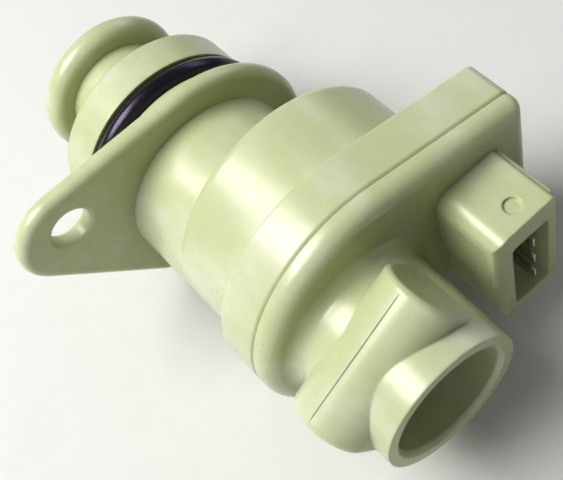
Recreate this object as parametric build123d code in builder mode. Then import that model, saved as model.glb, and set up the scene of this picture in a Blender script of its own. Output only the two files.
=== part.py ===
"""Vehicle speed sensor that sits between a gearbox and a speedometer cable.

The drive axis is X, pointing out of the gearbox. The origin is on that axis at the gearbox side
of the flange, Y points towards the connector and Z is up. All sizes are in millimetres.
"""
import os
from math import cos, radians, sin

from build123d import *

# Spigot, from the flange face into the gearbox
land_length = 2.8
land_radius = 16.6
collar_length = 6.4
collar_radius = 17.2
collar_rear_round = 1.8
collar_front_round = 0.8
waist_length = 10.0
waist_radius = 9.5
waist_round = 1.6
tip_thickness = 4.6
tip_radius = 13.4
tip_round = 2.2

# O-ring in the spigot groove
o_ring_section = 3.6
o_ring_stand = 0.6
groove_room = 0.3

# Flange and its bolt ear
flange_thickness = 3.3
flange_radius = 20.4
flange_round = 1.5
ear_angle = 154.0
ear_distance = 27.0
ear_radius = 8.7
ear_hole_angle = 151.0
ear_hole_distance = 26.8
ear_hole_radius = 3.5
ear_hole_round = 0.7

# Barrel and eccentric body
barrel_radius = 15.2
barrel_length = 12.2
barrel_fillet = 1.6
body_radius = 21.3
body_length = 13.5
body_round = 1.8

# Plate, split into the base on the housing and the cover
plate_round_offset = 4.6
plate_round_radius = 22.0
plate_margin = 7.2
plate_end_half_height = 15.4
plate_sill = 1.2
plate_corner_round = 2.2
plate_flat_round = 4.0
base_thickness = 7.5
cover_thickness = 3.7
cover_round = 2.6
seam_chamfer = 0.35
wall = 2.6
cover_wall = 2.2
lip_depth = 1.5
lip_width = 1.1

# Cable socket on the cover
socket_length = 20.0
socket_radius = 9.8
socket_wall = 2.5
socket_depth = 10.5
neck_draft = 0.4
neck_fillet = 2.2
neck_foot = 0.4
mouth_round = 1.2
mouth_lead_in = 0.7
well_radius = 8.0
well_depth = 5.0

# Tangential boss across the cable socket
boss_angle = 31.0
boss_station = 9.9
boss_radius = 6.5
boss_stand = 1.5
boss_near_reach = 12.6
boss_far_reach = 12.3
boss_end_round = 1.0

# Connector shroud and its cavity
connector_offset = 24.5
connector_drop = 2.0
cavity_width = 7.4
cavity_end_room = 2.4
cavity_round = 0.8
cavity_floor = 2.0
shroud_length = 12.0
shroud_outer_wall = 1.5
shroud_inner_wall = 2.4
shroud_roof = 4.6
shroud_sill = 1.4
shroud_shoulder_round = 3.2
shroud_nose_round = 2.0
shroud_edge_round = 0.9
panel_thickness = 1.0
panel_height = 13.4
panel_edge_round = 0.4
rib_stand = 0.8
rib_height = 3.4
rib_drop = 1.2
rib_setback = 1.3
rib_round = 0.6
dimple_radius = 1.4
dimple_depth = 0.4
dimple_setback = 3.4

# Terminals
terminal_shift = 1.2
terminal_drop = 1.0
terminal_pitch = 5.0
terminal_width = 2.8
terminal_thickness = 0.8
terminal_tail_width = 1.2
terminal_tip_setback = 0.6
terminal_tip_chamfer = 0.3

# Drive shaft with its square drive sockets
shaft_radius = 3.0
shaft_recess = 1.0
shaft_chamfer = 0.4
shaft_stand = 4.2
drive_square = 2.7
drive_depth = 12.0

# Bushes, seal, thrust washers and clip
bush_wall = 2.0
bush_length = 10.0
bush_shoulder = 1.1
seal_step = 2.0
seal_depth = 4.5
seal_lip = 1.0
seal_lip_station = 1.5
washer_thickness = 0.8
washer_step = 2.0
clip_thickness = 0.8
clip_stand = 2.0
clip_groove_depth = 0.6
clip_opening = 2.6

# Magnet rotor and the space that it turns in
hub_wall = 3.2
hub_shoulder = 1.0
hub_shoulder_step = 1.4
hub_nose = 2.0
hub_gap = 1.5
magnet_length = 9.5
magnet_gap = 1.2
core_wall = 4.0
core_floor = 2.5
bearing_tube_wall = 4.5
cover_tube_wall = 3.0

# Circuit board and what it carries
board_thickness = 1.6
board_margin = 1.2
board_gap = 0.6
board_corner = 1.0
peg_radius = 1.0
peg_height = 2.3
peg_inset = 2.2
chip_width = 4.2
chip_length = 3.2
chip_thickness = 1.6
chip_gap = 1.2
chip_leg = 0.45
chip_leg_pitch = 1.27
capacitor_length = 4.6
capacitor_width = 3.4
capacitor_height = 2.4
resistor_radius = 1.0
resistor_length = 5.6
diode_radius = 1.2
diode_length = 4.8
component_space = 1.2

# Fits
running_clearance = 0.03
seat_clearance = 0.02
slot_clearance = 0.04
loose_clearance = 0.1
end_float = 0.2

# Stations along the drive axis, from the gearbox to the cable
groove_width = o_ring_section + 2 * groove_room
groove_front = -land_length
groove_rear = groove_front - groove_width
collar_rear = groove_rear - collar_length
tip_front = collar_rear - waist_length
tip_face = tip_front - tip_thickness
body_start = flange_thickness + barrel_length
base_start = body_start + body_length
seam = base_start + base_thickness
cover_front = seam + cover_thickness
cover_inner = cover_front - cover_wall
boss_axis = cover_front + boss_station
mouth = cover_front + socket_length
socket_floor = mouth - socket_depth
well_floor = socket_floor - well_depth
shroud_front = cover_front + shroud_length
cavity_bottom = cover_front + cavity_floor

# Radii about the drive axis
o_ring_radius = collar_radius + o_ring_stand
groove_radius = o_ring_radius - o_ring_section - seat_clearance
mouth_radius = socket_radius + socket_wall
neck_radius = mouth_radius + neck_draft
boss_height = neck_radius + boss_stand
passage_radius = shaft_radius + loose_clearance
bearing_radius = shaft_radius + running_clearance
bush_radius = shaft_radius + bush_wall
bush_seat_radius = bush_radius + seat_clearance
seal_radius = bush_radius + seal_step
washer_radius = bush_radius + washer_step
clip_radius = shaft_radius + clip_stand
clip_groove_radius = shaft_radius - clip_groove_depth
hub_radius = shaft_radius + hub_wall
core_radius = barrel_radius - core_wall
magnet_radius = core_radius - magnet_gap
bearing_tube_radius = passage_radius + bearing_tube_wall
cover_tube_radius = bush_radius + cover_tube_wall

# Bearings and rotor along the drive axis
seal_floor = tip_face + seal_depth
gearbox_bush_end = seal_floor + bush_length
cable_bush_start = well_floor - bush_length
cover_tube_start = cable_bush_start - bush_shoulder
hub_front = cover_tube_start - washer_thickness - end_float
magnet_end = hub_front - hub_nose
magnet_start = magnet_end - magnet_length
magnet_middle = (magnet_start + magnet_end) / 2
hub_rear = magnet_start - hub_shoulder
bearing_tube_end = hub_rear - hub_gap
core_start = flange_thickness + core_floor
clip_start = well_floor + washer_thickness + end_float
shaft_start = tip_face + shaft_recess
shaft_end = well_floor + shaft_stand

# Connector, plate and board across the drive axis
connector_height = -connector_drop
cavity_height = 2 * terminal_pitch + terminal_width + 2 * cavity_end_room
shroud_right = connector_offset + cavity_width / 2 + shroud_outer_wall
shroud_left = connector_offset - cavity_width / 2 - shroud_inner_wall
panel_left = shroud_left - panel_thickness
shroud_top = connector_height + cavity_height / 2 + shroud_roof
shroud_bottom = connector_height - cavity_height / 2 - shroud_sill
plate_reach = shroud_right + plate_margin
plate_flat = shroud_bottom - plate_sill
body_offset = body_radius - barrel_radius
ear_y = ear_distance * cos(radians(ear_angle))
ear_z = ear_distance * sin(radians(ear_angle))
ear_hole_y = ear_hole_distance * cos(radians(ear_hole_angle))
ear_hole_z = ear_hole_distance * sin(radians(ear_hole_angle))
board_seat = base_start + wall
board_face = board_seat + board_thickness
board_left = magnet_radius + board_gap
board_right = plate_reach - wall - board_margin
board_top = plate_end_half_height - wall - board_margin
board_bottom = plate_flat + wall + board_margin
chip_middle = magnet_radius + chip_gap + chip_thickness / 2
peg_places = [(board_right - peg_inset, z) for z in (board_bottom + peg_inset, board_top - peg_inset)]
chip_leg_places = [(chip_middle, k * chip_leg_pitch) for k in (-1, 0, 1)]
terminal_y = connector_offset + terminal_shift
terminal_z = connector_height - terminal_drop
terminal_places = [(terminal_y, terminal_z + k * terminal_pitch) for k in (-1, 0, 1)]
terminal_names = ["terminal_ground", "terminal_signal", "terminal_supply"]


def section(x):
    """Plane across the drive axis at station x, its own x along Y and its own y along Z."""
    return Plane.YZ.offset(x)


def nearest(points, x, r):
    """The corner of a turned profile that lies nearest to station x and radius r."""
    return points.sort_by_distance((x, r, 0))[0]


def plate_outline(inset):
    """Plate outline: a round end about the body, a squared end past the connector, a flat underside."""
    with BuildSketch() as outline:
        with Locations((plate_round_offset, 0)):
            Circle(plate_round_radius - inset)
        with Locations((plate_reach - inset, 0)):
            Rectangle(plate_corner_round, 2 * (plate_end_half_height - inset), align=(Align.MAX, Align.CENTER))
        make_hull()
        with Locations((plate_round_offset, plate_flat + inset)):
            Rectangle(
                2 * plate_reach,
                plate_round_radius,
                align=(Align.CENTER, Align.MAX),
                mode=Mode.SUBTRACT,
            )
        fillet(outline.vertices().group_by(Axis.X)[-1], plate_corner_round)
        fillet(outline.vertices().group_by(Axis.Y)[0].sort_by(Axis.X)[0], plate_flat_round)
    return outline.sketch


def body_outline(inset):
    """Body outline: a circle that touches the barrel, cut flat in line with the barrel's underside."""
    with BuildSketch() as outline:
        with Locations((body_offset, 0)):
            Circle(body_radius - inset)
        with Locations((body_offset, inset - barrel_radius)):
            Rectangle(2 * body_radius, body_radius, align=(Align.CENTER, Align.MAX), mode=Mode.SUBTRACT)
    return outline.sketch


# Flange with its ear, rounded on both faces
with BuildPart() as flange_form:
    with BuildSketch(section(0)):
        Circle(flange_radius)
        with Locations((ear_y, ear_z)):
            Circle(ear_radius)
        make_hull()
    extrude(amount=flange_thickness)
    fillet(flange_form.faces().filter_by(Axis.X).edges(), flange_round)
    with BuildSketch(section(0)):
        with Locations((ear_hole_y, ear_hole_z)):
            Circle(ear_hole_radius)
    extrude(amount=flange_thickness, mode=Mode.SUBTRACT)
    fillet(flange_form.edges(Select.LAST).filter_by(GeomType.CIRCLE), ear_hole_round)

# Eccentric body, rounded where it steps out from the barrel
with BuildPart() as body_form:
    with BuildSketch(section(body_start)):
        add(body_outline(0))
    extrude(amount=body_length)
    fillet(body_form.faces().sort_by(Axis.X)[0].edges(), body_round)

# Base of the plate
with BuildPart() as base_form:
    with BuildSketch(section(base_start)):
        add(plate_outline(0))
    extrude(amount=base_thickness)
    fillet(base_form.faces().sort_by(Axis.X)[0].edges(), seam_chamfer)
    chamfer(base_form.faces().sort_by(Axis.X)[-1].edges(), seam_chamfer)

# Housing: spigot, flange, barrel, body and the base of the plate in one moulding
with BuildPart() as housing:
    with BuildSketch(Plane.XY) as spigot_profile:
        with BuildLine():
            Polyline(
                (tip_face, 0),
                (tip_face, tip_radius),
                (tip_front, tip_radius),
                (tip_front, waist_radius),
                (collar_rear, waist_radius),
                (collar_rear, collar_radius),
                (groove_rear, collar_radius),
                (groove_rear, groove_radius),
                (groove_front, groove_radius),
                (groove_front, land_radius),
                (flange_thickness / 2, land_radius),
                (flange_thickness / 2, flange_radius - flange_round),
                (flange_thickness, flange_radius - flange_round),
                (flange_thickness, barrel_radius),
                (body_start + body_round, barrel_radius),
                (body_start + body_round, 0),
                close=True,
            )
        make_face()
        corners = spigot_profile.vertices()
        fillet([nearest(corners, x, tip_radius) for x in (tip_face, tip_front)], tip_round)
        fillet([nearest(corners, x, waist_radius) for x in (tip_front, collar_rear)], waist_round)
        fillet(nearest(corners, collar_rear, collar_radius), collar_rear_round)
        fillet(nearest(corners, groove_rear, collar_radius), collar_front_round)
        fillet(nearest(corners, flange_thickness, barrel_radius), barrel_fillet)
    revolve(axis=Axis.X)
    add(flange_form.part)
    add(body_form.part)
    add(base_form.part)
    # Bores from the tip: seal pocket, bush seat and shaft passage
    with BuildSketch(Plane.XY):
        with BuildLine():
            Polyline(
                (tip_face, 0),
                (tip_face, seal_radius + seat_clearance),
                (seal_floor, seal_radius + seat_clearance),
                (seal_floor, bush_seat_radius),
                (gearbox_bush_end, bush_seat_radius),
                (gearbox_bush_end, passage_radius),
                (bearing_tube_end, passage_radius),
                (bearing_tube_end, 0),
                close=True,
            )
        make_face()
    revolve(axis=Axis.X, mode=Mode.SUBTRACT)
    # Space round the bearing tube, and the magnet chamber in front of it
    with BuildSketch(Plane.XY):
        with BuildLine():
            Polyline(
                (core_start, bearing_tube_radius),
                (core_start, core_radius),
                (seam, core_radius),
                (seam, 0),
                (bearing_tube_end, 0),
                (bearing_tube_end, bearing_tube_radius),
                close=True,
            )
        make_face()
    revolve(axis=Axis.X, mode=Mode.SUBTRACT)
    with BuildSketch(section(bearing_tube_end)):
        add(body_outline(wall))
    extrude(amount=seam - bearing_tube_end, mode=Mode.SUBTRACT)
    with BuildSketch(section(board_seat)):
        add(plate_outline(wall))
    extrude(amount=seam - board_seat, mode=Mode.SUBTRACT)
    # Pegs that place the circuit board
    with BuildSketch(section(board_seat)):
        with Locations(*peg_places):
            Circle(peg_radius)
    extrude(amount=peg_height)
housing.part.label = "housing"

# Slab of the cover, with its rounded front edge
with BuildPart() as cover_form:
    with BuildSketch(section(seam)):
        add(plate_outline(0))
    extrude(amount=cover_thickness)
    chamfer(cover_form.faces().sort_by(Axis.X)[0].edges(), seam_chamfer)
    fillet(cover_form.faces().sort_by(Axis.X)[-1].edges(), cover_round)

# Tangential boss: a bar with a round back that lies across the socket
boss_along = Vector(0, cos(radians(boss_angle)), sin(radians(boss_angle)))
boss_plane = Plane(origin=(boss_axis, 0, 0), x_dir=(1, 0, 0), z_dir=-boss_along)
with BuildPart() as boss_form:
    with BuildSketch(boss_plane.offset(-boss_far_reach)):
        with Locations((0, boss_height - boss_radius)):
            Circle(boss_radius)
        Rectangle(2 * boss_radius, boss_height - boss_radius, align=(Align.CENTER, Align.MIN))
    extrude(amount=boss_near_reach + boss_far_reach)
    fillet(boss_form.faces().filter_by(boss_plane).edges(), boss_end_round)

# Connector shroud: rounded in section and in plan, with a raised panel and a latch rib on its sides
with BuildPart() as shroud_form:
    with BuildSketch(section(cover_inner)) as shroud_section:
        with Locations((shroud_left, shroud_bottom)):
            Rectangle(shroud_right - shroud_left, shroud_top - shroud_bottom, align=(Align.MIN, Align.MIN))
        with Locations((panel_left, shroud_top)):
            Rectangle(connector_offset - panel_left, panel_height, align=(Align.MIN, Align.MAX))
        fillet(shroud_section.vertices().group_by(Axis.X)[0].sort_by(Axis.Y)[-1], shroud_shoulder_round)
        fillet(shroud_section.vertices().group_by(Axis.X)[0].sort_by(Axis.Y)[0], panel_edge_round)
        fillet(shroud_section.vertices().group_by(Axis.X)[-1], shroud_edge_round)
        fillet(shroud_section.vertices().group_by(Axis.Y)[0].sort_by(Axis.X)[0], shroud_edge_round)
    extrude(amount=shroud_front - cover_inner)
    with BuildSketch(Plane.XY.offset(shroud_bottom)):
        with Locations((shroud_front, panel_left)):
            Rectangle(shroud_nose_round, shroud_nose_round, align=(Align.MAX, Align.MIN))
        with Locations((shroud_front - shroud_nose_round, panel_left + shroud_nose_round)):
            Circle(shroud_nose_round, mode=Mode.SUBTRACT)
    extrude(amount=shroud_top - shroud_bottom, mode=Mode.SUBTRACT)
    with BuildSketch(section(cover_inner)):
        with Locations((shroud_right + rib_stand, shroud_top - rib_drop)):
            Rectangle(rib_stand + shroud_outer_wall / 2, rib_height, align=(Align.MAX, Align.MAX))
    extrude(amount=shroud_front - rib_setback - cover_inner)
    rib_side = shroud_form.faces().sort_by(Axis.Y)[-1]
    fillet(rib_side.edges().sort_by(Axis.X)[-1], rib_round)

# Cover: front half of the plate, cable socket, boss and connector shroud in one moulding
with BuildPart() as cover:
    with BuildSketch(Plane.XY) as socket_profile:
        with BuildLine():
            Polyline(
                (cover_inner, 0),
                (cover_inner, neck_radius + neck_fillet + neck_foot),
                (cover_front, neck_radius + neck_fillet + neck_foot),
                (cover_front, neck_radius),
                (boss_axis, neck_radius),
                (mouth, mouth_radius),
                (mouth, 0),
                close=True,
            )
        make_face()
        corners = socket_profile.vertices()
        fillet(nearest(corners, cover_front, neck_radius), neck_fillet)
        fillet(nearest(corners, mouth, mouth_radius), mouth_round)
    revolve(axis=Axis.X)
    add(boss_form.part)
    add(cover_form.part)
    add(shroud_form.part)
    # Space behind the front wall, with a lip left standing that centres the cover
    with BuildSketch(section(seam)):
        add(plate_outline(wall))
    extrude(amount=cover_inner - seam, mode=Mode.SUBTRACT)
    with BuildSketch(section(seam - lip_depth)):
        add(plate_outline(wall + loose_clearance))
        add(plate_outline(wall + loose_clearance + lip_width), mode=Mode.SUBTRACT)
    extrude(amount=lip_depth + cover_inner - seam)
    # Tube for the cable bush, then the bores of the bush, the shaft and the socket
    with BuildSketch(section(cover_tube_start)):
        Circle(cover_tube_radius)
    extrude(amount=cover_inner - cover_tube_start)
    with BuildSketch(Plane.XY):
        with BuildLine():
            Polyline(
                (cover_tube_start, 0),
                (cover_tube_start, passage_radius),
                (cable_bush_start, passage_radius),
                (cable_bush_start, bush_seat_radius),
                (well_floor, bush_seat_radius),
                (well_floor, well_radius),
                (socket_floor, well_radius),
                (socket_floor, socket_radius),
                (mouth - mouth_lead_in, socket_radius),
                (mouth, socket_radius + mouth_lead_in),
                (mouth, 0),
                close=True,
            )
        make_face()
    revolve(axis=Axis.X, mode=Mode.SUBTRACT)
    # Connector cavity, the slots of the terminals and the dimple on the roof
    with BuildSketch(section(cavity_bottom)):
        with Locations((connector_offset, connector_height)):
            RectangleRounded(cavity_width, cavity_height, cavity_round)
    extrude(amount=shroud_front - cavity_bottom, mode=Mode.SUBTRACT)
    with BuildSketch(section(cover_inner)):
        with Locations(*terminal_places):
            Rectangle(terminal_thickness + 2 * slot_clearance, terminal_width + 2 * slot_clearance)
    extrude(amount=cavity_bottom - cover_inner, mode=Mode.SUBTRACT)
    with BuildSketch(Plane.XY.offset(shroud_top)):
        with Locations((shroud_front - dimple_setback, connector_offset)):
            Circle(dimple_radius)
    extrude(amount=-dimple_depth, mode=Mode.SUBTRACT)
cover.part.label = "cover"

# O-ring
with BuildPart() as o_ring:
    with BuildSketch(Plane.XY):
        with Locations(((groove_rear + groove_front) / 2, o_ring_radius - o_ring_section / 2)):
            Circle(o_ring_section / 2)
    revolve(axis=Axis.X)
o_ring.part.label = "o_ring"

# Drive shaft with a square socket in each end and a groove for its clip
with BuildPart() as rotor_shaft:
    with BuildSketch(section(shaft_start)):
        Circle(shaft_radius)
    extrude(amount=shaft_end - shaft_start)
    chamfer(rotor_shaft.edges().filter_by(GeomType.CIRCLE), shaft_chamfer)
    with BuildSketch(section(shaft_start), section(shaft_end - drive_depth)):
        Rectangle(drive_square, drive_square)
    extrude(amount=drive_depth, mode=Mode.SUBTRACT)
    with BuildSketch(section(clip_start)):
        Circle(shaft_radius)
        Circle(clip_groove_radius, mode=Mode.SUBTRACT)
    extrude(amount=clip_thickness, mode=Mode.SUBTRACT)
rotor_shaft.part.label = "rotor_shaft"

# Hub that carries the magnet, with a shoulder on the gearbox side
with BuildPart() as rotor_hub:
    with BuildSketch(section(hub_rear)):
        Circle(hub_radius)
        Circle(shaft_radius, mode=Mode.SUBTRACT)
    extrude(amount=hub_front - hub_rear)
    chamfer(rotor_hub.faces().sort_by(Axis.X)[-1].outer_wire().edges(), hub_nose / 2)
    with BuildSketch(section(hub_rear)):
        Circle(hub_radius + hub_shoulder_step)
        Circle(shaft_radius, mode=Mode.SUBTRACT)
    extrude(amount=hub_shoulder)
rotor_hub.part.label = "rotor_hub"

# Open clip that holds the shaft in the cable bush
with BuildPart() as retaining_clip:
    with BuildSketch(section(clip_start)):
        Circle(clip_radius)
        Circle(clip_groove_radius, mode=Mode.SUBTRACT)
        Rectangle(clip_radius, clip_opening, align=(Align.MIN, Align.CENTER), mode=Mode.SUBTRACT)
    extrude(amount=clip_thickness)
retaining_clip.part.label = "retaining_clip"

# Lip seal that keeps the gearbox oil out of the bush
with BuildPart() as shaft_seal:
    with BuildSketch(Plane.XY):
        with BuildLine():
            Polyline(
                (tip_face + seal_lip / 2, seal_radius),
                (seal_floor, seal_radius),
                (seal_floor, bearing_radius + seal_lip),
                (seal_floor - seal_lip, bearing_radius + seal_lip),
                (tip_face + seal_lip_station + seal_lip, bearing_radius),
                (tip_face + seal_lip_station, bearing_radius),
                (tip_face + seal_lip_station, bearing_radius + seal_lip),
                (seal_floor - 2 * seal_lip, seal_radius - seal_lip),
                (tip_face + seal_lip / 2, seal_radius - seal_lip),
                close=True,
            )
        make_face()
    revolve(axis=Axis.X)
shaft_seal.part.label = "shaft_seal"

# Circuit board on its seat in the base, placed by two pegs
with BuildPart() as circuit_board:
    with BuildSketch(section(board_seat)):
        with Locations((board_left, board_bottom)):
            RectangleRounded(
                board_right - board_left,
                board_top - board_bottom,
                board_corner,
                align=(Align.MIN, Align.MIN),
            )
        with Locations(*peg_places):
            Circle(peg_radius + loose_clearance, mode=Mode.SUBTRACT)
        with Locations(*terminal_places):
            Rectangle(
                terminal_thickness + 2 * slot_clearance,
                terminal_tail_width + 2 * slot_clearance,
                mode=Mode.SUBTRACT,
            )
        with Locations(*chip_leg_places):
            Rectangle(chip_leg + 2 * slot_clearance, chip_leg + 2 * slot_clearance, mode=Mode.SUBTRACT)
    extrude(amount=board_thickness)
circuit_board.part.label = "circuit_board"

# Hall chip beside the magnet, on three legs from the board
with BuildPart() as hall_chip:
    with BuildSketch(section(magnet_middle - chip_length / 2)):
        with Locations((chip_middle, 0)):
            Rectangle(chip_thickness, chip_width)
    extrude(amount=chip_length)
    with BuildSketch(section(magnet_middle + chip_length / 2)):
        with Locations(*chip_leg_places):
            Rectangle(chip_leg, chip_leg)
    extrude(amount=board_face - magnet_middle - chip_length / 2)
hall_chip.part.label = "hall_chip"

# Capacitor block on the board, in the upper corner by the magnet
capacitor_y = board_left + component_space + capacitor_width / 2
capacitor_z = board_top - component_space - capacitor_length / 2
with BuildPart() as filter_capacitor:
    with BuildSketch(section(board_face)):
        with Locations((capacitor_y, capacitor_z)):
            RectangleRounded(capacitor_width, capacitor_length, board_corner / 2)
    extrude(amount=capacitor_height)
filter_capacitor.part.label = "filter_capacitor"


def ring(inner, outer, start, end, name):
    """Plain ring about the drive axis between two stations."""
    with BuildPart() as body:
        with BuildSketch(section(start)):
            Circle(outer)
            Circle(inner, mode=Mode.SUBTRACT)
        extrude(amount=end - start)
    body.part.label = name
    return body.part


def barrel_component(y, low_z, radius, length, name):
    """Barrel shaped component that lies on the board along Z."""
    foot = Plane(origin=(board_face + radius, y, low_z), x_dir=(1, 0, 0), z_dir=(0, 0, 1))
    with BuildPart() as body:
        with BuildSketch(foot):
            Circle(radius)
        extrude(amount=length)
        chamfer(body.edges().filter_by(GeomType.CIRCLE), radius / 4)
    body.part.label = name
    return body.part


def terminal(place, name):
    """Straight blade from the board, through the cover, into the connector cavity."""
    with BuildPart() as blade:
        with BuildSketch(section(board_face)):
            with Locations(place):
                Rectangle(terminal_thickness, terminal_width)
        extrude(amount=shroud_front - terminal_tip_setback - board_face)
        chamfer(blade.faces().sort_by(Axis.X)[-1].edges(), terminal_tip_chamfer)
        with BuildSketch(section(board_seat)):
            with Locations(place):
                Rectangle(terminal_thickness, terminal_tail_width)
        extrude(amount=board_thickness)
    blade.part.label = name
    return blade.part


diode_y = capacitor_y + capacitor_width / 2 + component_space + diode_radius
diode_z = board_top - component_space - diode_length
resistor_y = board_left + component_space + resistor_radius
resistor_z = board_bottom + component_space
hub_washer_start = cover_tube_start - washer_thickness
pieces = [
    housing.part,
    cover.part,
    o_ring.part,
    rotor_shaft.part,
    rotor_hub.part,
    retaining_clip.part,
    shaft_seal.part,
    circuit_board.part,
    hall_chip.part,
    filter_capacitor.part,
    ring(hub_radius, magnet_radius, magnet_start, magnet_end, "magnet_ring"),
    ring(bearing_radius, bush_radius, seal_floor, gearbox_bush_end, "gearbox_bush"),
    ring(bearing_radius, bush_radius, cable_bush_start, well_floor, "cable_bush"),
    ring(bearing_radius, washer_radius, hub_washer_start, cover_tube_start, "hub_thrust_washer"),
    ring(bearing_radius, washer_radius, well_floor, well_floor + washer_thickness, "clip_thrust_washer"),
    barrel_component(resistor_y, resistor_z, resistor_radius, resistor_length, "series_resistor"),
    barrel_component(diode_y, diode_z, diode_radius, diode_length, "protection_diode"),
]
for terminal_place, terminal_name in zip(terminal_places, terminal_names):
    pieces.append(terminal(terminal_place, terminal_name))

os.makedirs("parts", exist_ok=True)
for piece in pieces:
    export_step(piece, f"parts/{piece.label}.step")
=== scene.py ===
"""Looks of a vehicle speed sensor, laid out as an add-on and run as a script.

The CAD frame gives every form. This file gives the moulded housing and cover their pale
translucent nylon, makes the O-ring, the blades and the fine mould line as surfaces of two
parameters, finishes the pieces inside, and sets the stage with its light and camera.
"""

import bmesh
import bpy
import numpy as np
from bpy.props import FloatProperty, FloatVectorProperty, IntProperty, PointerProperty
from mathutils import Matrix, Vector


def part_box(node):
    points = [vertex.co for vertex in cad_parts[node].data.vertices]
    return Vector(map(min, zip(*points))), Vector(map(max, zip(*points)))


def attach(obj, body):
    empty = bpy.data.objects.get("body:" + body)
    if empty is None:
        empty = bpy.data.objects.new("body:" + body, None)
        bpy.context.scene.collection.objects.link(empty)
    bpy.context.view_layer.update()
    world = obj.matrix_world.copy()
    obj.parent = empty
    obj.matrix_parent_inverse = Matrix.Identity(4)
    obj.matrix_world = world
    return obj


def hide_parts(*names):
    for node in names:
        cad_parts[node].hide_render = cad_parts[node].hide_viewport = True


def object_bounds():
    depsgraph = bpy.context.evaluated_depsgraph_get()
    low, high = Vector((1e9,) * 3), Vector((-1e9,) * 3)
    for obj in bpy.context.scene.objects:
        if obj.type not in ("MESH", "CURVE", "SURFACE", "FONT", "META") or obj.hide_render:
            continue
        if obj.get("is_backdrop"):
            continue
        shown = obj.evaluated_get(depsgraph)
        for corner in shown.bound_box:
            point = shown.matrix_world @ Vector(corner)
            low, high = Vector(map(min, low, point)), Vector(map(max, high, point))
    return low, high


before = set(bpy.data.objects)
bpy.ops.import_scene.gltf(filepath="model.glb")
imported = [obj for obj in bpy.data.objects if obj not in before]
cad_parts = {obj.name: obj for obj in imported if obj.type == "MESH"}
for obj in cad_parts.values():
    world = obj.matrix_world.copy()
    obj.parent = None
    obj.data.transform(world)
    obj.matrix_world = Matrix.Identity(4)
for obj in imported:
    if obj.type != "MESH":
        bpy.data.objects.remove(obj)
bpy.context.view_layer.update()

bl_info = {
    "name": "Speed sensor looks",
    "version": (1, 0, 0),
    "blender": (4, 5, 0),
    "location": "View3D > Sidebar > Sensor",
    "description": "Mouldings, O-ring, blades, rotor, electronics and stage of a speed sensor",
    "category": "Object",
}

MM = 0.001
BODY = "sensor_body"
COLOUR = "NodeSocketColor"
NUMBER = "NodeSocketFloat"

# Tone of the mouldings, with painted shade: olive on faces turned from a fixed lit side
LIT_SIDE = (-0.36, -0.42, 0.83)
PAINTED_SHADE_TURN = (0.45, -0.75)
PAINTED_SHADE_SHARE = 0.8
CLOUD_SCALE = 95.0
CLOUD_DRAW = (0.6, 1.0, 1.0)
CLOUD_BAND = (0.40, 0.80)
CLOUD_SHARE = 0.9
PIT_SCALE = 1400.0
PIT_ROUGHNESS = 0.16

# Speckle of the other finishes
BROAD_SCALE = 160.0
SPECKLE_BAND = (0.18, 0.42)
FINE_EDGE = 0.1 * MM

# Relief of every finish
EDGE_SAMPLES = 6
RELIEF_DEPTH = 0.05 * MM

# Rows and merging of the surfaces
SHANK_ROWS = 20
POINT_ROWS = 60
BEAD_ROWS = 96
BEAD_FADE = 12
BEAD_END = 0.02
GRID_MERGE = 1e-7
CAD_MERGE = 2e-6
NORMAL_WEIGHT = 100

# Lights: name, place, width and height, tint
LAMPS = (
    ("key", (-0.12, -0.24, 0.40), (0.34, 0.26), (1.0, 0.99, 0.96)),
    ("fill", (0.42, -0.30, 0.22), (0.3, 0.3), (0.96, 0.98, 1.0)),
    ("rim", (-0.10, 0.36, 0.20), (0.40, 0.10), (1.0, 1.0, 1.0)),
)
WHITE = (1.0, 1.0, 1.0, 1.0)

# Camera
SENSOR_WIDTH = 36.0
CLIP_START = 0.01


# Properties

class SensorShape(bpy.types.PropertyGroup):
    """Sizes of the surfaces that are made here."""
    sharp_angle: FloatProperty(
        name="Sharp angle", description="Edges of the mouldings turned more than this stay sharp",
        default=0.6, subtype="ANGLE")
    soft_edge: FloatProperty(
        name="Soft edge", description="Radius that the shading of moulded edges is softened to",
        default=0.6 * MM, unit="LENGTH")
    ring_steps: IntProperty(
        name="Ring steps", description="Steps round the O-ring", default=256, min=16)
    section_steps: IntProperty(
        name="Section steps", description="Steps round a cross section", default=48, min=12)
    flash_height: FloatProperty(
        name="Flash height", description="How far the flash stands out of the O-ring",
        default=0.06 * MM, unit="LENGTH")
    flash_width: FloatProperty(
        name="Flash width", description="Share of the O-ring's section that the flash takes up",
        default=0.05)
    blade_corner: FloatProperty(
        name="Blade corner", description="Power of the superellipse of a blade's section", default=7.0)
    blade_point: FloatProperty(
        name="Blade point", description="Length of a blade's coined point",
        default=0.9 * MM, unit="LENGTH")
    blade_tip: FloatProperty(
        name="Blade tip", description="Share of its thickness that a blade has at the tip", default=0.45)
    bead_width: FloatProperty(
        name="Mould line width", description="Width of the raised mould line on the boss",
        default=0.2 * MM, unit="LENGTH")
    bead_height: FloatProperty(
        name="Mould line height", description="Height of the raised mould line on the boss",
        default=0.03 * MM, unit="LENGTH")
    boss_angle: FloatProperty(
        name="Boss angle", description="Slant of the boss across the socket",
        default=0.54105, subtype="ANGLE")
    boss_station: FloatProperty(
        name="Boss station", description="Place of the boss along the drive axis",
        default=50.1 * MM, unit="LENGTH")
    boss_height: FloatProperty(
        name="Boss height", description="Distance of the boss's crest from the drive axis",
        default=14.2 * MM, unit="LENGTH")
    boss_near: FloatProperty(
        name="Boss near end", description="Reach of the mould line on the ear's side",
        default=11.5 * MM, unit="LENGTH")
    boss_far: FloatProperty(
        name="Boss far end", description="Reach of the mould line on the connector's side",
        default=11.2 * MM, unit="LENGTH")


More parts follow.
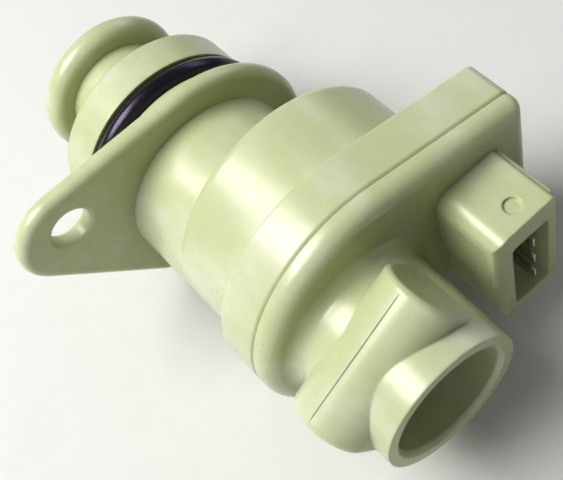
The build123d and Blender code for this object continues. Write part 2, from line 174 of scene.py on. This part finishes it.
class SensorFinish(bpy.types.PropertyGroup):
    """Colours of the finishes."""
    nylon_pale: FloatVectorProperty(
        name="Pale nylon", description="Nylon on faces turned to the lit side",
        subtype="COLOR", default=(0.56, 0.61, 0.35))
    # Painted shade: this olive is painted on faces turned from a fixed lit side
    nylon_painted_shade: FloatVectorProperty(
        name="Olive nylon", description="Nylon on faces turned from the lit side",
        subtype="COLOR", default=(0.25, 0.265, 0.055))
    nylon_cloud: FloatVectorProperty(
        name="Cloudy nylon", description="Whitish flow clouds in the nylon",
        subtype="COLOR", default=(0.72, 0.73, 0.58))
    rubber: FloatVectorProperty(
        name="Rubber", description="Oiled black rubber", subtype="COLOR", default=(0.006, 0.005, 0.008))
    seal: FloatVectorProperty(
        name="Seal", description="Brown seal rubber", subtype="COLOR", default=(0.10, 0.045, 0.025))
    tin: FloatVectorProperty(
        name="Tin", description="Tinned blades", subtype="COLOR", default=(0.58, 0.54, 0.49))
    steel: FloatVectorProperty(
        name="Steel", description="Ground shaft steel", subtype="COLOR", default=(0.56, 0.56, 0.55))
    spring: FloatVectorProperty(
        name="Spring steel", description="Blackened spring steel",
        subtype="COLOR", default=(0.16, 0.15, 0.15))
    bronze: FloatVectorProperty(
        name="Bronze", description="Sintered bearing bronze",
        subtype="COLOR", default=(0.52, 0.34, 0.16))
    bearing: FloatVectorProperty(
        name="Bearing plastic", description="Pale washer plastic",
        subtype="COLOR", default=(0.78, 0.76, 0.68))
    ferrite: FloatVectorProperty(
        name="Ferrite", description="Sintered magnet", subtype="COLOR", default=(0.07, 0.07, 0.08))
    hub: FloatVectorProperty(
        name="Hub", description="Filled hub plastic", subtype="COLOR", default=(0.06, 0.06, 0.065))
    laminate: FloatVectorProperty(
        name="Laminate", description="Coated board", subtype="COLOR", default=(0.03, 0.17, 0.06))
    resin: FloatVectorProperty(
        name="Resin", description="Moulded component resin", subtype="COLOR", default=(0.03, 0.03, 0.03))
    ceramic: FloatVectorProperty(
        name="Ceramic", description="Ceramic block", subtype="COLOR", default=(0.46, 0.28, 0.11))
    lacquer: FloatVectorProperty(
        name="Lacquer", description="Lacquered barrel", subtype="COLOR", default=(0.24, 0.40, 0.50))
    floor: FloatVectorProperty(
        name="Floor", description="Pale studio floor", subtype="COLOR", default=(0.78, 0.78, 0.775))


class SensorStage(bpy.types.PropertyGroup):
    """Camera, light and floor."""
    camera_place: FloatVectorProperty(
        name="Camera place", description="Where the camera stands", subtype="XYZ", unit="LENGTH",
        default=(0.1089, -0.0304, 0.1518))
    camera_right: FloatVectorProperty(
        name="Camera right", description="Direction to the right of the picture", subtype="DIRECTION",
        default=(0.6353, 0.7417, -0.2154))
    camera_up: FloatVectorProperty(
        name="Camera up", description="Direction up the picture", subtype="DIRECTION",
        default=(-0.5962, 0.6482, 0.4736))
    lens: FloatProperty(name="Lens", description="Focal length in millimetres", default=71.43)
    floor_size: FloatProperty(
        name="Floor size", description="Side of the floor", default=6.0, unit="LENGTH")
    floor_gap: FloatProperty(
        name="Floor gap", description="Gap between the object and the floor",
        default=0.2 * MM, unit="LENGTH")
    key_power: FloatProperty(
        name="Key power", description="Power of the large soft light", default=3.0)
    fill_power: FloatProperty(
        name="Fill power", description="Power of the weak light from the front", default=0.10)
    rim_power: FloatProperty(
        name="Rim power", description="Power of the strip light behind", default=0.2)
    sky: FloatProperty(
        name="Sky", description="Strength of the even light all round", default=0.13)
    wall: FloatProperty(
        name="Wall", description="Brightness of the pale wall behind", default=0.8)


# Node helpers

def joined(tree, source, target):
    """Link one socket to another."""
    tree.links.new(source, target)


def placed(tree, kind, **values):
    """A new node, with its properties and the values of its named inputs."""
    node = tree.nodes.new(kind)
    for key, value in values.items():
        if hasattr(node, key):
            setattr(node, key, value)
        else:
            node.inputs[key.replace("_", " ")].default_value = value
    return node


def new_group(name, inputs, outputs):
    """An empty shader node group with named sockets; returns its tree and its two end nodes."""
    tree = bpy.data.node_groups.new(name, "ShaderNodeTree")
    for label, kind in inputs:
        tree.interface.new_socket(label, in_out="INPUT", socket_type=kind)
    for label, kind in outputs:
        tree.interface.new_socket(label, in_out="OUTPUT", socket_type=kind)
    return tree, tree.nodes.new("NodeGroupInput"), tree.nodes.new("NodeGroupOutput")


def ranged(tree, source, band, top):
    """A smooth step of a value, from 0 at the band's first number to top at its second."""
    step = placed(tree, "ShaderNodeMapRange", interpolation_type="SMOOTHSTEP")
    joined(tree, source, step.inputs["Value"])
    for key, value in (("From Min", band[0]), ("From Max", band[1]), ("To Min", 0.0), ("To Max", top)):
        step.inputs[key].default_value = value
    return step.outputs["Result"]


def blended(tree, factor, first, second):
    """A mix of two colours; each is a socket."""
    mix = placed(tree, "ShaderNodeMix", data_type="RGBA")
    joined(tree, factor, mix.inputs["Factor"])
    joined(tree, first, mix.inputs["A"])
    joined(tree, second, mix.inputs["B"])
    return mix.outputs["Result"]


def speckle_group():
    """Fine speckle and dust: two noises on object coordinates, one fine and one broad, give a mottled
    colour, a roughness that follows it and a height for the bump."""
    found = bpy.data.node_groups.get("SensorSpeckle")
    if found:
        return found
    tree, into, out = new_group(
        "SensorSpeckle",
        [("Main", COLOUR), ("Fleck", COLOUR), ("Grain", NUMBER), ("Roughness", NUMBER), ("Spread", NUMBER)],
        [("Color", COLOUR), ("Roughness", NUMBER), ("Height", NUMBER)])
    place = tree.nodes.new("ShaderNodeTexCoord")
    fine = placed(tree, "ShaderNodeTexNoise", Detail=3.0)
    broad = placed(tree, "ShaderNodeTexNoise", Detail=2.0, Scale=BROAD_SCALE)
    for noise in (fine, broad):
        joined(tree, place.outputs["Object"], noise.inputs["Vector"])
    joined(tree, into.outputs["Grain"], fine.inputs["Scale"])
    both = placed(tree, "ShaderNodeMath", operation="MULTIPLY")
    joined(tree, fine.outputs["Fac"], both.inputs[0])
    joined(tree, broad.outputs["Fac"], both.inputs[1])
    mask = ranged(tree, both.outputs["Value"], SPECKLE_BAND, 1.0)
    joined(tree, blended(tree, mask, into.outputs["Main"], into.outputs["Fleck"]), out.inputs["Color"])
    spread = placed(tree, "ShaderNodeMath", operation="MULTIPLY_ADD")
    joined(tree, mask, spread.inputs[0])
    joined(tree, into.outputs["Spread"], spread.inputs[1])
    joined(tree, into.outputs["Roughness"], spread.inputs[2])
    joined(tree, spread.outputs["Value"], out.inputs["Roughness"])
    joined(tree, fine.outputs["Fac"], out.inputs["Height"])
    return tree


def painted_shade_moulding_group():
    """Tone of a translucent moulding: pale on faces turned to a fixed lit side, painted olive shade on faces
    turned from it, with whitish flow clouds drawn out along the drive axis and fine pitting."""
    found = bpy.data.node_groups.get("SensorMoulding")
    if found:
        return found
    tree, into, out = new_group(
        "SensorMoulding",
        [("Pale", COLOUR), ("Olive", COLOUR), ("Cloud", COLOUR), ("Roughness", NUMBER)],
        [("Color", COLOUR), ("Roughness", NUMBER), ("Height", NUMBER)])
    place = tree.nodes.new("ShaderNodeTexCoord")
    shape = tree.nodes.new("ShaderNodeNewGeometry")
    turned = placed(tree, "ShaderNodeVectorMath", operation="DOT_PRODUCT")
    turned.inputs[1].default_value = LIT_SIDE
    joined(tree, shape.outputs["Normal"], turned.inputs[0])
    drawn = placed(tree, "ShaderNodeMapping")
    drawn.inputs["Scale"].default_value = CLOUD_DRAW
    joined(tree, place.outputs["Object"], drawn.inputs["Vector"])
    cloud = placed(tree, "ShaderNodeTexNoise", Scale=CLOUD_SCALE, Detail=4.0, Roughness=0.6)
    pits = placed(tree, "ShaderNodeTexNoise", Scale=PIT_SCALE, Detail=3.0)
    joined(tree, drawn.outputs["Vector"], cloud.inputs["Vector"])
    joined(tree, place.outputs["Object"], pits.inputs["Vector"])
    # Painted shade: olive mixed in on faces turned from the fixed lit side
    away = ranged(tree, turned.outputs["Value"], PAINTED_SHADE_TURN, PAINTED_SHADE_SHARE)
    veil = ranged(tree, cloud.outputs["Fac"], CLOUD_BAND, CLOUD_SHARE)
    clouded = blended(tree, veil, into.outputs["Pale"], into.outputs["Cloud"])
    joined(tree, blended(tree, away, clouded, into.outputs["Olive"]), out.inputs["Color"])
    rough = placed(tree, "ShaderNodeMath", operation="MULTIPLY_ADD")
    joined(tree, pits.outputs["Fac"], rough.inputs[0])
    rough.inputs[1].default_value = PIT_ROUGHNESS
    joined(tree, into.outputs["Roughness"], rough.inputs[2])
    joined(tree, rough.outputs["Value"], out.inputs["Roughness"])
    joined(tree, pits.outputs["Fac"], out.inputs["Height"])
    return tree


def finish_material(name, group, values, bump, edge, constants):
    """A material whose Principled shader takes colour, roughness and bump from a group, with the shading
    of edges softened to a small radius. The constants are set on the shader's own sockets."""
    material = bpy.data.materials.new(name)
    material.use_nodes = True
    tree = material.node_tree
    shader = tree.nodes["Principled BSDF"]
    for key, value in constants.items():
        shader.inputs[key].default_value = value
    effect = tree.nodes.new("ShaderNodeGroup")
    effect.node_tree = group
    for key, value in values.items():
        effect.inputs[key].default_value = value
    joined(tree, effect.outputs["Color"], shader.inputs["Base Color"])
    joined(tree, effect.outputs["Roughness"], shader.inputs["Roughness"])
    soft = placed(tree, "ShaderNodeBevel", samples=EDGE_SAMPLES, Radius=edge)
    relief = placed(tree, "ShaderNodeBump", Strength=bump, Distance=RELIEF_DEPTH)
    joined(tree, soft.outputs["Normal"], relief.inputs["Normal"])
    joined(tree, effect.outputs["Height"], relief.inputs["Height"])
    joined(tree, relief.outputs["Normal"], shader.inputs["Normal"])
    return material


def opaque(colour):
    """A colour property with full alpha, for a colour socket."""
    return (*colour, 1.0)


def toned(colour, share):
    """A darker or lighter tone of a colour property."""
    return (*[min(1.0, c * share) for c in colour], 1.0)


def speckled(name, colour, fleck, grain, roughness, spread, bump, **constants):
    """A material of one main colour with flecks of a second tone."""
    values = {"Main": opaque(colour), "Fleck": toned(colour, fleck), "Grain": grain,
              "Roughness": roughness, "Spread": spread}
    return finish_material(name, speckle_group(), values, bump, FINE_EDGE,
                           {key.replace("_", " "): value for key, value in constants.items()})


def dressed(obj, material):
    """Give an object one material in all its slots."""
    obj.data.materials.clear()
    obj.data.materials.append(material)


def cad_dressed(names, material):
    """Give CAD nodes a material; their meshes stay as they are."""
    for name in names:
        dressed(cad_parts[name], material)


# Surfaces

def grid_mesh(name, points, around, capped):
    """Mesh of a grid of points (rows, columns, 3). The columns close on themselves. The rows close too
    if around is true, or the two end rows are filled if capped is true."""
    rows, columns = points.shape[:2]
    index = np.arange(rows * columns).reshape(rows, columns)
    ahead = np.roll(index, -1, axis=0) if around else index[1:]
    here = index if around else index[:-1]
    quads = np.stack([here, ahead, np.roll(ahead, -1, axis=1), np.roll(here, -1, axis=1)], axis=-1)
    faces = quads.reshape(-1, 4).tolist()
    if capped:
        faces += [index[0].tolist(), index[-1][::-1].tolist()]
    mesh = bpy.data.meshes.new(name)
    mesh.from_pydata(points.reshape(-1, 3).tolist(), [], faces)
    solid = bmesh.new()
    solid.from_mesh(mesh)
    bmesh.ops.remove_doubles(solid, verts=solid.verts, dist=GRID_MERGE)
    bmesh.ops.recalc_face_normals(solid, faces=solid.faces)
    solid.to_mesh(mesh)
    solid.free()
    mesh.polygons.foreach_set("use_smooth", np.ones(len(mesh.polygons), bool))
    mesh.update()
    return mesh


def new_piece(name, mesh, body):
    """Object at the origin that rides on a body."""
    if not mesh.polygons:
        raise RuntimeError(f"{name} came out empty")
    obj = bpy.data.objects.new(name, mesh)
    bpy.context.scene.collection.objects.link(obj)
    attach(obj, body)
    return obj


def ring_points(middle, radius, section, shape):
    """Torus about the drive axis: at angle u round the axis and v round the section, the point is the
    ring's circle plus the section's circle, raised by a narrow bump of flash where v is 0 or pi."""
    u = np.linspace(0.0, 2.0 * np.pi, shape.ring_steps, endpoint=False)[:, None]
    v = np.linspace(0.0, 2.0 * np.pi, shape.section_steps, endpoint=False)[None, :]
    flash = np.exp(-(np.sin(v) / (np.pi * shape.flash_width)) ** 2)
    reach = section - shape.flash_height + shape.flash_height * flash
    across = radius + reach * np.cos(v)
    along = middle + reach * np.sin(v)
    return np.stack([along + 0.0 * u, across * np.cos(u), across * np.sin(u)], axis=-1)


def blade_points(low, high, shape):
    """Blade along the drive axis: its section is a superellipse of the CAD blade's thickness and width,
    which narrows to a coined point over the last stretch by a quarter cosine."""
    shank = np.linspace(low.x, high.x - shape.blade_point, SHANK_ROWS, endpoint=False)
    point = high.x - shape.blade_point * (1.0 - np.linspace(0.0, 1.0, POINT_ROWS))
    along = np.concatenate([shank, point])[:, None]
    into_point = np.clip((along - high.x + shape.blade_point) / shape.blade_point, 0.0, 1.0)
    share = 1.0 - (1.0 - shape.blade_tip) * (1.0 - np.cos(into_point * np.pi / 2.0))
    v = np.linspace(0.0, 2.0 * np.pi, shape.section_steps, endpoint=False)[None, :]
    power = 2.0 / shape.blade_corner
    half_thick = (high.y - low.y) / 2.0
    half_wide = (high.z - low.z) / 2.0
    thick = half_thick * np.sign(np.cos(v)) * np.abs(np.cos(v)) ** power
    wide = half_wide * np.sign(np.sin(v)) * np.abs(np.sin(v)) ** power
    trim = half_thick * (1.0 - share)
    y = (low.y + high.y) / 2.0 + thick * share
    z = (low.z + high.z) / 2.0 + wide * (1.0 - trim / half_wide)
    return np.stack([along + 0.0 * v, y, z], axis=-1)


def bead_points(shape):
    """Mould line on the crest of the boss: a flat ellipse carried along the crest, its lower half under
    the surface. Its height and width fade to a small end by the square root of 1 minus a high power of
    the place along it."""
    along = Vector((0.0, np.cos(shape.boss_angle), np.sin(shape.boss_angle)))
    outward = Vector((0.0, -np.sin(shape.boss_angle), np.cos(shape.boss_angle)))
    s = np.linspace(-1.0, 1.0, BEAD_ROWS)[:, None]
    middle = (shape.boss_far - shape.boss_near) / 2.0
    half = (shape.boss_far + shape.boss_near) / 2.0
    fade = np.sqrt(np.clip(1.0 - np.abs(s) ** BEAD_FADE, 0.0, 1.0)) + BEAD_END
    v = np.linspace(0.0, 2.0 * np.pi, shape.section_steps, endpoint=False)[None, :]
    x = shape.boss_station + shape.bead_width / 2.0 * fade * np.cos(v)
    lift = shape.boss_height + shape.bead_height * fade * np.sin(v)
    run = middle + half * s + 0.0 * v
    y = along.y * run + outward.y * lift
    z = along.z * run + outward.z * lift
    return np.stack([x, y, z], axis=-1)


def smooth_copy(name, node, body, sharp_angle):
    """Copy of a CAD node, merged by distance, shaded smooth across edges below the sharp angle."""
    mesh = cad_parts[node].data.copy()
    mesh.name = name
    solid = bmesh.new()
    solid.from_mesh(mesh)
    bmesh.ops.remove_doubles(solid, verts=solid.verts, dist=CAD_MERGE)
    solid.to_mesh(mesh)
    solid.free()
    stored = mesh.attributes.get("custom_normal")
    if stored:
        mesh.attributes.remove(stored)
    mesh.shade_smooth()
    mesh.set_sharp_from_angle(angle=sharp_angle)
    piece = new_piece(name, mesh, body)
    weighted = piece.modifiers.new("weighted_normals", "WEIGHTED_NORMAL")
    weighted.keep_sharp = True
    weighted.weight = NORMAL_WEIGHT
    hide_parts(node)
    return piece


# Operators

class SENSOR_OT_mouldings(bpy.types.Operator):
    """Housing and cover in translucent natural nylon, with the mould line on the boss"""
    bl_idname = "sensor.mouldings"
    bl_label = "Mouldings"

    def execute(self, context):
        shape, tone = context.scene.sensor_shape, context.scene.sensor_finish
        # The nylon paints olive shade on faces turned from a fixed lit side
        nylon = finish_material(
            "natural_nylon", painted_shade_moulding_group(),
            {"Pale": opaque(tone.nylon_pale), "Olive": opaque(tone.nylon_painted_shade),
             "Cloud": opaque(tone.nylon_cloud), "Roughness": 0.22},
            bump=0.25, edge=shape.soft_edge,
            constants={"Subsurface Weight": 0.35, "Subsurface Radius": (1.0, 0.95, 0.45),
                       "Subsurface Scale": 1.6 * MM, "IOR": 1.53,
                       "Coat Weight": 0.25, "Coat Roughness": 0.2})
        for node in ("housing", "cover"):
            piece = smooth_copy(f"{node}_moulding", node, BODY, shape.sharp_angle)
            dressed(piece, nylon)
        mesh = grid_mesh("boss_mould_line", bead_points(shape), around=False, capped=True)
        dressed(new_piece("boss_mould_line", mesh, BODY), nylon)
        return {"FINISHED"}


class SENSOR_OT_o_ring(bpy.types.Operator):
    """O-ring with its fine flash lines, in oiled black rubber"""
    bl_idname = "sensor.o_ring"
    bl_label = "O-ring"

    def execute(self, context):
        shape, tone = context.scene.sensor_shape, context.scene.sensor_finish
        low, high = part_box("o_ring")
        section = (high.x - low.x) / 2.0
        points = ring_points((low.x + high.x) / 2.0, high.z - section, section, shape)
        mesh = grid_mesh("o_ring_rubber", points, around=True, capped=False)
        ring = new_piece("o_ring_rubber", mesh, BODY)
        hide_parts("o_ring")
        dressed(ring, speckled(
            "oiled_rubber", tone.rubber, fleck=1.6, grain=1800.0, roughness=0.24, spread=0.12, bump=0.08,
            Specular_Tint=(0.72, 0.6, 1.0, 1.0), Coat_Weight=0.15, Coat_Roughness=0.2))
        return {"FINISHED"}


class SENSOR_OT_blades(bpy.types.Operator):
    """Three tinned blades with coined points"""
    bl_idname = "sensor.blades"
    bl_label = "Blades"

    def execute(self, context):
        shape, tone = context.scene.sensor_shape, context.scene.sensor_finish
        tin = speckled("tinned_blade", tone.tin, fleck=0.72, grain=2400.0, roughness=0.26, spread=0.22,
                       bump=0.12, Metallic=1.0)
        for node in ("terminal_ground", "terminal_signal", "terminal_supply"):
            low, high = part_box(node)
            name = f"{node}_blade"
            mesh = grid_mesh(name, blade_points(low, high, shape), around=False, capped=True)
            blade = new_piece(name, mesh, BODY)
            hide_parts(node)
            dressed(blade, tin)
        return {"FINISHED"}


class SENSOR_OT_rotor(bpy.types.Operator):
    """Shaft, hub, magnet and clip that turn together"""
    bl_idname = "sensor.rotor"
    bl_label = "Rotor"

    def execute(self, context):
        tone = context.scene.sensor_finish
        cad_dressed(["rotor_shaft"], speckled(
            "ground_steel", tone.steel, fleck=0.8, grain=2600.0, roughness=0.24, spread=0.2, bump=0.1,
            Metallic=1.0))
        cad_dressed(["retaining_clip"], speckled(
            "spring_steel", tone.spring, fleck=1.5, grain=2200.0, roughness=0.34, spread=0.2, bump=0.1,
            Metallic=1.0))
        cad_dressed(["rotor_hub"], speckled(
            "hub_plastic", tone.hub, fleck=1.6, grain=1500.0, roughness=0.45, spread=0.2, bump=0.2))
        cad_dressed(["magnet_ring"], speckled(
            "sintered_ferrite", tone.ferrite, fleck=1.7, grain=1900.0, roughness=0.5, spread=0.25, bump=0.35))
        return {"FINISHED"}


class SENSOR_OT_inside(bpy.types.Operator):
    """Bushes, washers, seal, circuit board and its components"""
    bl_idname = "sensor.inside"
    bl_label = "Inside"

    def execute(self, context):
        tone = context.scene.sensor_finish
        cad_dressed(["gearbox_bush", "cable_bush"], speckled(
            "sintered_bronze", tone.bronze, fleck=0.7, grain=2100.0, roughness=0.36, spread=0.25, bump=0.3,
            Metallic=1.0))
        cad_dressed(["hub_thrust_washer", "clip_thrust_washer"], speckled(
            "bearing_plastic", tone.bearing, fleck=0.85, grain=1300.0, roughness=0.4, spread=0.15, bump=0.15))
        cad_dressed(["shaft_seal"], speckled(
            "seal_rubber", tone.seal, fleck=1.5, grain=1500.0, roughness=0.42, spread=0.2, bump=0.2))
        cad_dressed(["circuit_board"], speckled(
            "board_laminate", tone.laminate, fleck=1.5, grain=1100.0, roughness=0.32, spread=0.2, bump=0.15))
        cad_dressed(["hall_chip", "protection_diode"], speckled(
            "component_resin", tone.resin, fleck=1.8, grain=1700.0, roughness=0.45, spread=0.2, bump=0.2))
        cad_dressed(["filter_capacitor"], speckled(
            "capacitor_ceramic", tone.ceramic, fleck=0.8, grain=1400.0, roughness=0.3, spread=0.2, bump=0.1))
        cad_dressed(["series_resistor"], speckled(
            "resistor_lacquer", tone.lacquer, fleck=0.8, grain=1400.0, roughness=0.3, spread=0.2, bump=0.1))
        return {"FINISHED"}


class SENSOR_OT_stage(bpy.types.Operator):
    """Pale floor, soft light and the camera"""
    bl_idname = "sensor.stage"
    bl_label = "Stage"

    def lay_floor(self, scene, level):
        """A square of pale studio paper at a level."""
        half = scene.sensor_stage.floor_size / 2.0
        corners = [(x * half, y * half, level) for x, y in ((-1, -1), (1, -1), (1, 1), (-1, 1))]
        mesh = bpy.data.meshes.new("studio_floor")
        mesh.from_pydata(corners, [], [(0, 1, 2, 3)])
        floor = bpy.data.objects.new("studio_floor", mesh)
        scene.collection.objects.link(floor)
        dressed(floor, speckled(
            "studio_paper", scene.sensor_finish.floor, fleck=0.985, grain=300.0, roughness=0.8, spread=0.1,
            bump=0.02))
        floor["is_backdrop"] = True

    def hang_light(self, scene, name, place, target, size, power, tint):
        """A rectangular light at a place, turned to a target."""
        lamp = bpy.data.lights.new(name, "AREA")
        lamp.shape = "RECTANGLE"
        lamp.size, lamp.size_y = size
        lamp.energy = power
        lamp.color = tint
        obj = bpy.data.objects.new(name, lamp)
        obj.location = place
        obj.rotation_euler = (Vector(target) - Vector(place)).to_track_quat("-Z", "Y").to_euler()
        scene.collection.objects.link(obj)

    def fill_air(self, scene):
        """Even light all round, with a pale wall where the camera looks past the floor."""
        stage = scene.sensor_stage
        world = bpy.data.worlds.new("studio_air")
        world.use_nodes = True
        tree = world.node_tree
        air = tree.nodes["Background"]
        air.inputs["Color"].default_value = WHITE
        air.inputs["Strength"].default_value = stage.sky
        wall = placed(tree, "ShaderNodeBackground", Strength=stage.wall)
        seen = tree.nodes.new("ShaderNodeLightPath")
        both = tree.nodes.new("ShaderNodeMixShader")
        joined(tree, seen.outputs["Is Camera Ray"], both.inputs["Fac"])
        joined(tree, air.outputs["Background"], both.inputs[1])
        joined(tree, wall.outputs["Background"], both.inputs[2])
        joined(tree, both.outputs["Shader"], tree.nodes["World Output"].inputs["Surface"])
        scene.world = world

    def set_camera(self, scene):
        """The camera at the photograph's viewing angle."""
        stage = scene.sensor_stage
        camera = bpy.data.cameras.new("sensor_camera")
        camera.sensor_width = SENSOR_WIDTH
        camera.lens = stage.lens
        camera.clip_start = CLIP_START
        viewer = bpy.data.objects.new("sensor_camera", camera)
        right, up = Vector(stage.camera_right).normalized(), Vector(stage.camera_up)
        up = (up - right * up.dot(right)).normalized()
        turn = Matrix((right, up, right.cross(up))).transposed().to_4x4()
        viewer.matrix_world = Matrix.Translation(Vector(stage.camera_place)) @ turn
        scene.collection.objects.link(viewer)
        scene.camera = viewer

    def execute(self, context):
        scene = context.scene
        stage = scene.sensor_stage
        low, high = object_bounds()
        self.lay_floor(scene, low.z - stage.floor_gap)
        centre = (low + high) / 2.0
        for name, place, size, tint in LAMPS:
            power = getattr(stage, f"{name}_power")
            self.hang_light(scene, f"{name}_light", place, centre, size, power, tint)
        self.fill_air(scene)
        self.set_camera(scene)
        scene.view_settings.view_transform = "Standard"
        return {"FINISHED"}


class SENSOR_PT_panel(bpy.types.Panel):
    """Buttons and values of the sensor's looks"""
    bl_idname = "SENSOR_PT_panel"
    bl_label = "Speed sensor"
    bl_space_type = "VIEW_3D"
    bl_region_type = "UI"
    bl_category = "Sensor"

    def draw(self, context):
        for step in STEPS:
            self.layout.operator(step.bl_idname)
        for name in GROUPS:
            values = getattr(context.scene, name)
            for key in values.__annotations__:
                self.layout.prop(values, key)


STEPS = (SENSOR_OT_mouldings, SENSOR_OT_o_ring, SENSOR_OT_blades, SENSOR_OT_rotor, SENSOR_OT_inside,
         SENSOR_OT_stage)
GROUPS = {"sensor_shape": SensorShape, "sensor_finish": SensorFinish, "sensor_stage": SensorStage}
CLASSES = (*GROUPS.values(), *STEPS, SENSOR_PT_panel)


def register():
    """Register the classes and hang the property groups on the scene."""
    for item in CLASSES:
        bpy.utils.register_class(item)
    for name, group in GROUPS.items():
        setattr(bpy.types.Scene, name, PointerProperty(type=group))


def unregister():
    """Take the property groups and the classes away again."""
    for name in GROUPS:
        delattr(bpy.types.Scene, name)
    for item in reversed(CLASSES):
        bpy.utils.unregister_class(item)


def main():
    """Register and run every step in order."""
    register()
    bpy.ops.sensor.mouldings()
    bpy.ops.sensor.o_ring()
    bpy.ops.sensor.blades()
    bpy.ops.sensor.rotor()
    bpy.ops.sensor.inside()
    bpy.ops.sensor.stage()


if __name__ == "__main__":
    main()
